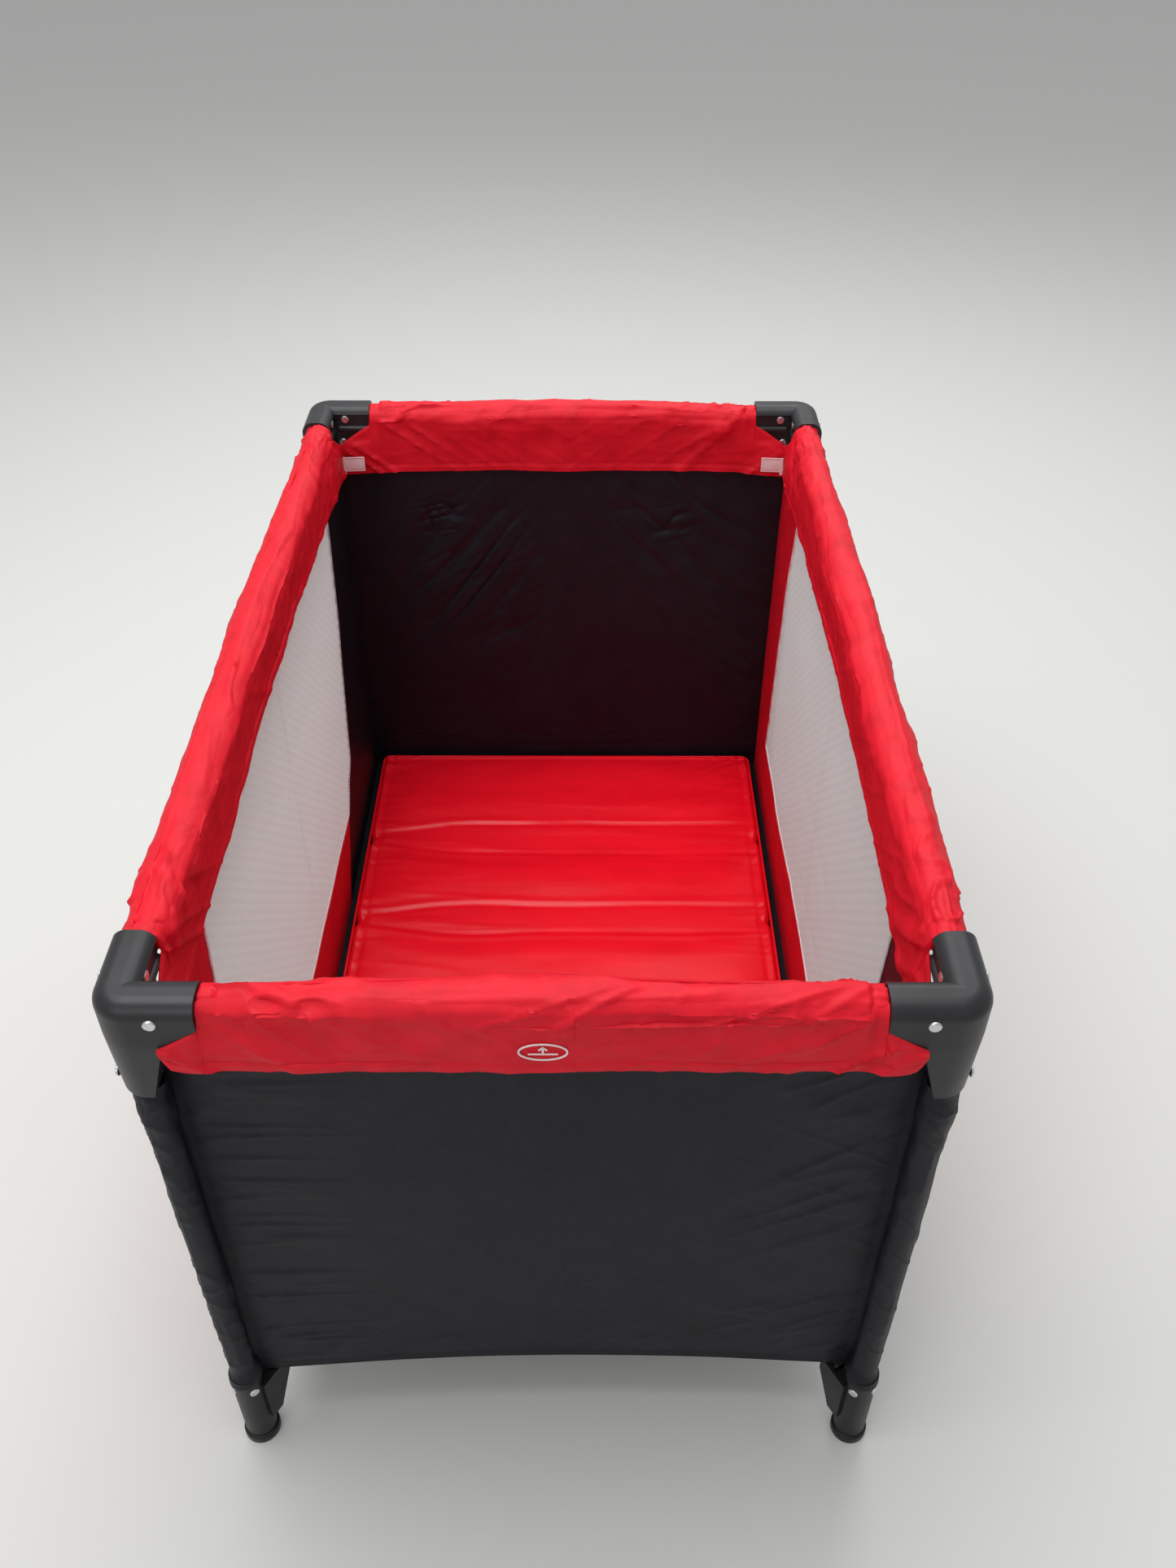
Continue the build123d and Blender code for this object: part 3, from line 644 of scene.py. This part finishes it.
def make_end_panel(sx, sy):
    """Half of an end wall, bowed in towards the floor cloth, and the piping along its foot."""
    name = pair_name("x", sx, sy)
    s = np.concatenate([np.linspace(0.0, 0.318, 118), np.linspace(0.3205, PANEL_LAST, 6)])
    v = np.linspace(0, 1, 200)
    S, V = np.meshgrid(s, v, indexing="ij")
    x = sx * S
    u = x / LX
    hem = PANEL_LOW + 0.0008 * noise(x / 0.08, 1.0, 77)
    top = under_bracket(S, END["x"], PANEL_LAST)
    z = hem + (top - hem) * V
    bow = floor_bow(u, sy) - (0.0015 if sy < 0 else 0.0)
    inward = bow * (1 - ease(z, 0.08, 0.52)) ** 1.3
    wrap = 0.0025 * ease(S, 0.317, PANEL_LAST) * (1 - ease(z, 0.60, 0.64))
    h = end_wrinkles(x, z, sy)
    quiet = ease(z, 0.115, 0.15) * (1 - ease(z, 0.66, 0.71) * 0.6)
    quiet = quiet * (0.25 + 0.75 * ease(0.3195 - S, 0.0, 0.02))
    band = 1 - ease(z - hem, 0.0085, 0.0095)
    stitch = bump(z - hem, 0.010, 0.0009) * 0.001
    t = PANEL_OUT + np.clip(h * quiet, -0.0035, 0.0065) - stitch - inward + wrap
    p = place("x", sx, sy, S, t, z)
    obj = sheet_piece("panel_" + name, p, 0.0016 + 0.0012 * band, mats["black"])
    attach(obj, "leg_" + corner_key(sx, sy))
    fold_squash(obj, "x")
    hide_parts("end_panel_" + name)
    path = place("x", sx, sy, s[:-5], t[:-5, 0], hem[:-5, 0] - 0.0008)
    rope = tube_piece("panel_piping_" + name, swept(path, 0.0019), mats["hem"])
    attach(rope, "leg_" + corner_key(sx, sy))
    fold_squash(rope, "x")


def strip_edge(z, black):
    """Where a corner strip meets the mesh, from the middle, at a height."""
    if black:
        return np.interp(z, [0.11, 0.24, 0.30, 0.51, 0.66, 0.72], [0.19, 0.255, 0.312, 0.362, 0.382, 0.386])
    return np.interp(z, [0.11, 0.24, 0.45, 0.66, 0.72], [0.432, 0.420, 0.400, 0.378, 0.372])


def side_wrinkles(y, z, sx):
    """How far a long side stands off its plane, outwards positive, in metres."""
    seed = 200 + 7 * sx
    h = 0.0022 * noise(y / 0.3, z / 0.25, seed) + 0.0007 * noise(y / 0.08, z / 0.09, seed + 1)
    return h + 0.001 * creases(y / 0.2, z / 0.12, seed + 2, 2.0)


def make_side(sx, sy):
    """Half of a long side: mesh, a red strip along the bottom and a coloured strip up the corner."""
    name = pair_name("y", sx, sy)
    black = sx * sy < 0
    low_rows, high_rows = 22, 90
    inner_n, outer_n = 110, 26
    rows = np.linspace(SIDE_LOW, STRIP_TOP, low_rows)
    rows = np.concatenate([rows, np.linspace(STRIP_TOP, WALL_TOP, high_rows)[1:]])
    m_low = low_rows - 1
    u = np.linspace(0, 1, inner_n)
    w = np.linspace(0, 1, outer_n)
    z_in = np.broadcast_to(rows, (inner_n, len(rows)))
    z_out = np.broadcast_to(rows, (outer_n, len(rows)))
    edge = strip_edge(rows, black)
    s_in = edge[None, :] * u[:, None]
    s_out = edge[None, :] + (SIDE_LAST - edge[None, :]) * w[:, None]

    def points(S, Z):
        h = side_wrinkles(sy * S, Z, sx)
        quiet = ease(Z, SIDE_LOW, SIDE_LOW + 0.05) * (1 - 0.5 * ease(Z, 0.66, 0.71))
        quiet = quiet * (0.3 + 0.7 * ease(SIDE_LAST - S, 0.0, 0.05))
        top = under_bracket(S, END["y"], SIDE_LAST)
        return place("y", sx, sy, S, SIDE_OUT + h * quiet, np.minimum(Z, top))

    spans = [
        ("mesh", s_in[:, m_low:], z_in[:, m_low:], "mesh"),
        ("strip", s_in[:, :m_low + 1], z_in[:, :m_low + 1], "red"),
        ("corner", s_out, z_out, "black" if black else "red"),
    ]
    for word, S, Z, mat in spans:
        p = points(S, Z)
        thick = 0.0010 if word == "mesh" else 0.0014
        obj = sheet_piece("side_" + word + "_" + name, p, thick, mats[mat])
        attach(obj, "leg_" + corner_key(sx, sy))
        fold_squash(obj, "y")
    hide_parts("mesh_side_" + name)

    def stitch(word, S, Z, mat):
        base = points(S[None, :], Z[None, :])[0]
        run = np.gradient(base, axis=0)
        run /= np.linalg.norm(run, axis=1, keepdims=True)
        half = 0.0024 * np.cross(run, np.array([sx, 0.0, 0.0]))
        grid = np.stack([base - half, base, base + half])
        obj = sheet_piece("overlock_" + word + "_" + name, grid, 0.0030, mats[mat])
        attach(obj, "leg_" + corner_key(sx, sy))
        fold_squash(obj, "y")

    above = rows[m_low:]
    stitch("corner", strip_edge(above, black), above, "grey" if black else "pink")
    span = np.linspace(0.0006, float(edge[m_low]), 120)
    stitch("strip", span, np.full(120, rows[m_low]), "pink")


# ---------------------------------------------------------------- legs, base and mat
SLEEVE_TOP = 0.6385
SLEEVE_LONG = 0.524


def make_sleeve(sx, sy):
    """The cloth sleeve of a leg, with a gathered hem over the foot's collar."""
    key = corner_key(sx, sy)
    hem = [0.0, 0.0004, 0.002, 0.006, 0.010, 0.014, 0.019]
    hem_r = [0.0177, 0.0184, 0.0186, 0.0184, 0.0175, 0.0166, 0.0152]
    z = np.concatenate([hem, np.linspace(0.024, SLEEVE_LONG, 150)])
    r0 = np.concatenate([hem_r, np.full(150, 0.0139)])
    m = 40
    a = np.arange(m) * 2 * math.pi / m
    Z, A = np.meshgrid(z, a, indexing="ij")
    inner_side = np.cos(A - math.atan2(-sy, -sx))
    low = 0.1185 + 0.0055 * (1 + inner_side)
    Z = low + Z * (SLEEVE_TOP - low) / SLEEVE_LONG
    seed = 300 + 5 * sx + 11 * sy
    body = ease(Z, 0.15, 0.17)
    ring = np.stack([np.cos(A), np.sin(A)], -1)
    swell = 0.0008 * noise(Z / 0.06, A / 1.2, seed)
    swell = swell + 0.0012 * creases(Z / 0.03 + A * 0.4, A * 0.9, seed + 1, 2.0)
    upper = bump(Z, 0.60, 0.022) * 0.0020
    upper = upper + ease(Z, 0.5, 0.63) * 0.0014 * creases(Z / 0.02, A, seed + 2, 1.6)
    turned = ((A - math.atan2(sy, sx) + math.pi) % (2 * math.pi)) - math.pi
    seam = bump(turned, 0.35, 0.09) * 0.0012
    r = r0[:, None] + body * (swell + upper + seam)
    r = np.minimum(r, 0.0190)
    x = sx * LX + r * ring[..., 0]
    y = sy * LY + r * ring[..., 1]
    rings = np.stack([x, y, Z], -1)
    inner_z, inner_r = np.array([SLEEVE_TOP, 0.1328, 0.1326]), np.array([0.0102, 0.0102, 0.0177])
    I, A2 = np.meshgrid(inner_z, a, indexing="ij")
    R2 = np.broadcast_to(inner_r[:, None], I.shape)
    inner = np.stack([sx * LX + R2 * np.cos(A2), sy * LY + R2 * np.sin(A2), I], -1)
    rings = np.concatenate([rings, inner])
    obj = crisp(tube_piece("sleeve_" + key, rings, mats["black"], caps=False), 1.2)
    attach(obj, "leg_" + key)
    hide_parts("leg_sleeve_" + key)


MAT_HX, MAT_HY, MAT_Y = 0.3060, 0.5115, 0.0045   # half sizes, and the middle's place along the cot
MAT_LOW, MAT_TOP, MAT_PIPING = 0.1162, 0.1422, 0.1365
MAT_ROUND = 0.010
SEAMS = [-0.297, -0.120, 0.129, 0.306]           # the hinges between the boards
RIM_IN = [0, 0.0015, 0.003, 0.005, 0.0075]       # grid lines close to the mat's edge


def rounding(inside):
    """How far a round edge has dropped, at a distance in from it."""
    near = 1 - np.clip(inside / MAT_ROUND, 0, 1)
    return MAT_ROUND * (1 - np.sqrt(np.clip(1 - near ** 2, 0, 1)))


def mat_height(X, Y):
    """The mat's top surface: puffy boards, flat hinge bands between paired creases, round edges."""
    d = np.min([np.abs(Y - s) for s in SEAMS], axis=0)
    ex, ey = MAT_HX - np.abs(X), MAT_HY - np.abs(Y - MAT_Y)
    wander = 0.007 * noise(X / 0.16, Y / 0.3, 401) + 0.012 * ease(-X, 0.12, 0.30)
    off = d - 0.028 + wander
    band = ease(-off, -0.006, 0.006)
    crown = 0.0040 * ease(off, 0.0, 0.05) * ease(ex, 0.0, 0.06) * ease(ey, 0.0, 0.05)
    drape = 0.0011 * noise(X / 0.14, Y / 0.07, 402)
    line = np.exp(-(off / 0.0038) ** 2) * (0.72 + 0.28 * noise(X / 0.10, Y / 0.2, 404))
    cut = 0.0020 * line
    shoulder = 0.0008 * np.exp(-((off - 0.008) / 0.005) ** 2)
    strength = np.clip(0.45 + 0.8 * noise(X / 0.16, Y / 0.07, 410), 0, 1)
    ridge = 0.0011 * band * creases(X / 0.30, Y / 0.018, 405, 1.5) * strength
    loose = 0.0012 * strength * creases(X / 0.34 + 3, (Y + 0.08 * X) / 0.036, 407, 3.0) * (1 - band)
    corner = bump(ex, 0.02, 0.05) * bump(ey, 0.03, 0.09) * 0.0036
    corner = corner * folds(np.abs(X), Y, 0.6, 0.018, 0.08, 406, 1.6)
    gather = bump(ex, 0.018, 0.03) * 0.0016 * creases(X / 0.09, Y / 0.013, 408, 1.7)
    lip = 0.0018 * bump(ex, 0.0065, 0.004) + 0.0018 * bump(ey, 0.0065, 0.004)
    groove = 0.0018 * bump(ex, 0.014, 0.003) + 0.0018 * bump(ey, 0.014, 0.003)
    notch = 0.007 * np.exp(-(d / 0.007) ** 2) * np.exp(-(ex / 0.012) ** 2)
    round_x, round_y = rounding(ex), rounding(ey)
    fine = drape + ridge + loose + corner + gather + shoulder
    top = MAT_TOP - 0.0010 + crown + fine - cut + lip - groove - notch
    return top - np.maximum(round_x, round_y) - 0.0007 * band


def rim_lines(size, count):
    """Grid lines across the mat, closer together at both edges."""
    far = [size - k for k in reversed(RIM_IN)]
    return np.concatenate([RIM_IN, np.linspace(MAT_ROUND, size - MAT_ROUND, count), far])


def make_mat():
    """The mat: one padded cover over all its boards, and the piping round it."""
    gx, gy = rim_lines(2 * MAT_HX, 126), rim_lines(2 * MAT_HY, 256)
    X, Y = np.meshgrid(gx - MAT_HX, gy - MAT_HY + MAT_Y, indexing="ij")
    Z = mat_height(X, Y)
    nu, nv = X.shape
    pull = 0.0016 * bump(np.min([np.abs(Y - s) for s in SEAMS], axis=0), 0.0, 0.012)
    Xt = X - np.sign(X) * pull * ease(np.abs(X), 0.27, 0.30)
    top = np.stack([Xt, Y, Z], -1).reshape(-1, 3)
    bottom = np.stack([Xt, Y, np.full(X.shape, MAT_LOW)], -1).reshape(-1, 3)
    faces = grid_quads(nu, nv)
    rim = grid_rim(nu, nv)
    low = {a: nu * nv + n for n, a in enumerate(rim)}
    edge = np.array([bottom[a] for a in rim])
    verts = np.concatenate([top, edge, [[0, 0, MAT_LOW]]])
    centre = len(verts) - 1
    for m, a in enumerate(rim):
        b = rim[(m + 1) % len(rim)]
        faces.append((a, low[a], low[b], b))
        faces.append((low[a], centre, low[b]))
    obj = make("mat_cover", verts, faces, mats["vinyl"])
    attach(obj, "mat")
    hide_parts("mat")
    loop = rounded_loop(MAT_HX + 0.0006, MAT_HY + 0.0006, 0.012)
    path = [(x, y + MAT_Y, MAT_PIPING) for x, y in loop]
    rope = tube_piece("mat_piping", swept(path, 0.0018, 8), mats["vinyl"], caps=False)
    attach(rope, "mat")


def rounded_loop(hx, hy, r, step=0.01):
    """Points round a rectangle with round corners, a step apart."""
    x, y = hx - r, hy - r
    pts = []
    for cx, cy, a0 in ((x, y, 0), (-x, y, 90), (-x, -y, 180), (x, -y, 270)):
        for k in range(9):
            a = math.radians(a0 + k * 90 / 8)
            pts.append((cx + r * math.cos(a), cy + r * math.sin(a)))
    out = []
    for n, p in enumerate(pts):
        q = pts[(n + 1) % len(pts)]
        m = max(1, int(math.dist(p, q) / step))
        out += [(p[0] + (q[0] - p[0]) * k / m, p[1] + (q[1] - p[1]) * k / m) for k in range(m)]
    return out


def make_floor(sx, sy):
    """A quarter of the cloth under the mat."""
    key = corner_key(sx, sy)
    u, v = np.meshgrid(np.linspace(0, 1, 44), np.linspace(0, 1, 70), indexing="ij")
    X = u * 0.3222
    edge = 0.5285 - floor_bow(sx * X / LX, sy)
    Y = v * edge
    Z = 0.1139 + 0.0003 * noise(X / 0.05, Y / 0.05, 500)
    slit_x, slit_y = 0.058, 0.018   # the opening in the middle that the strap comes through
    Y = np.where((X < slit_x) & (Y < slit_y), slit_y + Y * 0.02, Y)
    p = np.stack([sx * X, sy * Y, Z], -1)
    obj = sheet_piece("floor_" + key, p, 0.0009, mats["black"])
    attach(obj, "base_" + key)
    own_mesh(obj)
    return obj


def make_strap():
    """The lift strap: a webbing loop sewn flat over the hub, and its tail down through it."""
    s = np.linspace(-0.054, 0.054, 60)
    v = np.linspace(-0.0125, 0.0125, 9)
    S, V = np.meshgrid(s, v, indexing="ij")
    z = 0.1147 + 0.0004 * np.sin(S * 90)
    grip = sheet_piece("strap_grip", np.stack([S, V, z], -1), 0.0021, mats["strap"])
    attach(grip, "strap")
    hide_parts("lift_strap")
    z = np.linspace(0.0125, 0.1137, 50)
    V, Z = np.meshgrid(np.linspace(-0.0118, 0.0118, 9), z, indexing="ij")
    p = np.stack([V, 0.0003 * np.sin(Z * 120), Z], -1)
    tail = sheet_piece("strap_tail", p, 0.0021, mats["strap"])
    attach(tail, "strap")


# ---------------------------------------------------------------- trim
def make_tab(sx, sy):
    """A short webbing tab sewn on the inner skirt near the corner, with its end folded over."""
    end = END["x"]
    s = np.linspace(LX - 0.052, LX - 0.0195, 18)
    v = np.linspace(0, 1, 10)
    S, V = np.meshgrid(s, v, indexing="ij")
    z = 0.6655 + 0.0210 * V - 0.0015 * (S - end) / 0.04
    t = -0.0278 - 0.0006 * bump(V, 0.5, 0.4)
    key = corner_key(sx, sy)
    obj = sheet_piece("tab_" + key, place("x", sx, sy, S, t, z), 0.0016, mats["tab"])
    tail_s = np.linspace(LX - 0.0245, LX - 0.0182, 5)
    TS, TV = np.meshgrid(tail_s, v, indexing="ij")
    tz = 0.6600 + 0.026 * TV
    p = place("x", sx, sy, TS, -0.0290, tz)
    tail = sheet_piece("tab_tail_" + key, p, 0.001, mats["tab"])
    near, far = LX - 0.0495, LX - 0.022
    loop = [(near, 0.668), (far, 0.668), (far, 0.684), (near, 0.685)]
    path = []
    for a, b in zip(loop, loop[1:] + loop[:1]):
        path += [(a[0] + (b[0] - a[0]) * k / 12, a[1] + (b[1] - a[1]) * k / 12) for k in range(12)]
    sewn = np.array(path)
    pts = place("x", sx, sy, sewn[:, 0], -0.0288, sewn[:, 1])
    thread_obj = tube_piece("tab_thread_" + key, swept(pts, 0.0004, 6), mats["tabstitch"], caps=False)
    for o in (obj, tail, thread_obj):
        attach(o, "leg_" + key)


def make_print():
    """A generic printed mark on the front cover: an oval outline with an upward arrow."""
    y = -(LY + 0.0266)
    middle = 0.7080

    def ribbon(name, pts, width):
        pts = np.asarray(pts)
        p3 = np.stack([pts[:, 0], np.full(len(pts), y), middle + pts[:, 1]], -1)
        run = np.gradient(p3, axis=0)
        run /= np.linalg.norm(run, axis=1, keepdims=True)
        across = np.cross(run, np.array([0.0, 1.0, 0.0]))
        grid = np.stack([p3 - across * width / 2, p3 + across * width / 2])
        obj = sheet_piece(name, grid, 0.0008, mats["print"])
        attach(obj, "leg_fl")
        fold_squash(obj, "x")

    a = np.linspace(0, 2 * math.pi, 73)
    stem = [(0, -0.001), (0, 0.001), (0, 0.003), (0, 0.0045)]
    line = [(-0.012, -0.0025), (-0.004, -0.0025), (0.004, -0.0025), (0.012, -0.0025)]
    ribbon("print_oval", np.stack([0.0195 * np.cos(a), 0.0095 * np.sin(a)], -1), 0.0014)
    ribbon("print_arrow_stem", stem, 0.0016)
    ribbon("print_arrow_left", [(-0.0034, 0.0022), (-0.002, 0.0036), (0, 0.0058)], 0.0013)
    ribbon("print_arrow_right", [(0.0034, 0.0022), (0.002, 0.0036), (0, 0.0058)], 0.0013)
    ribbon("print_line", line, 0.0011)


# ---------------------------------------------------------------- build
for sy in (-1, 1):          # front, then back
    for sx in (-1, 1):      # left, then right
        for kind in "xy":   # the rail across the end, then the one along the side
            make_roll(kind, sx, sy)
            make_skirt(kind, sx, sy, outside=True)
            make_skirt(kind, sx, sy, outside=False)
        make_end_panel(sx, sy)
        make_side(sx, sy)
        make_sleeve(sx, sy)
        make_tab(sx, sy)
quarters = [make_floor(sx, sy) for sx in (-1, 1) for sy in (-1, 1)]
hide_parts("floor_cloth")
make_mat()
make_strap()
make_print()

# the hard pieces come from the CAD model as they are and take their materials by name
CARRIED = {"corner_bracket": "plastic", "foot": "foot", "leg_tube": "steel", "rail_tube": "steel",
           "base_tube": "steel", "rail_lock": "plastic", "lock_button": "button", "rivets": "rivet",
           "base_hub": "foot"}
for node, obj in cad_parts.items():
    for start, mat in CARRIED.items():
        if node.startswith(start):
            obj.data.materials.clear()
            obj.data.materials.append(mats[mat])

# ---------------------------------------------------------------- stage, light and camera
floor_mat = material("floor", (0.62, 0.62, 0.6), 0.9)
bpy.ops.mesh.primitive_plane_add(size=30, location=(0, 0, 0))
ground = bpy.context.object
ground.name = "ground"
ground.data.materials.append(floor_mat)


def area_light(name, where, aim, size, power):
    data = bpy.data.lights.new(name, "AREA")
    data.shape = "RECTANGLE"
    data.size, data.size_y = size
    data.energy = power
    obj = bpy.data.objects.new(name, data)
    obj.location = where
    obj.rotation_euler = (Vector(aim) - Vector(where)).to_track_quat("-Z", "Y").to_euler()
    scene.collection.objects.link(obj)


MIDDLE = (0, 0, 0.4)
area_light("key", (-0.5, 0.1, 3.4), MIDDLE, (2.6, 2.6), 88)
area_light("back", (0.6, 2.4, 2.8), MIDDLE, (2.4, 1.2), 34)
area_light("front", (-1.5, -3.3, 2.3), MIDDLE, (2.2, 1.6), 24)
world = bpy.data.worlds.new("world")
world.use_nodes = True
sky = world.node_tree.nodes["Background"]
sky.inputs["Color"].default_value = (0.93, 0.94, 0.95, 1)
sky.inputs["Strength"].default_value = 0.58
scene.world = world
scene.view_settings.view_transform = "Standard"

# the camera, as solved from the photograph: place in metres, turns in degrees, lens in millimetres
CAMERA_AT = (0.0343, -1.2452, 1.5525)
CAMERA_TURNS = (0.088, 39.9615, 0.1483)   # to the right, down, and about its own view
CAMERA_LENS, SENSOR = 30.62, 36.0
yaw, pitch, roll = (math.radians(a) for a in CAMERA_TURNS)
fwd = Vector((math.sin(yaw) * math.cos(pitch), math.cos(yaw) * math.cos(pitch), -math.sin(pitch)))
right = Vector((math.cos(yaw), -math.sin(yaw), 0))
up = right.cross(fwd)
right2 = right * math.cos(roll) + up * math.sin(roll)
up2 = up * math.cos(roll) - right * math.sin(roll)
cam_data = bpy.data.cameras.new("camera")
cam_data.sensor_width = SENSOR
cam_data.lens = CAMERA_LENS
cam = bpy.data.objects.new("camera", cam_data)
scene.collection.objects.link(cam)
turn = Matrix((right2, up2, -fwd)).transposed().to_4x4()
cam.matrix_world = Matrix.Translation(CAMERA_AT) @ turn
scene.camera = cam
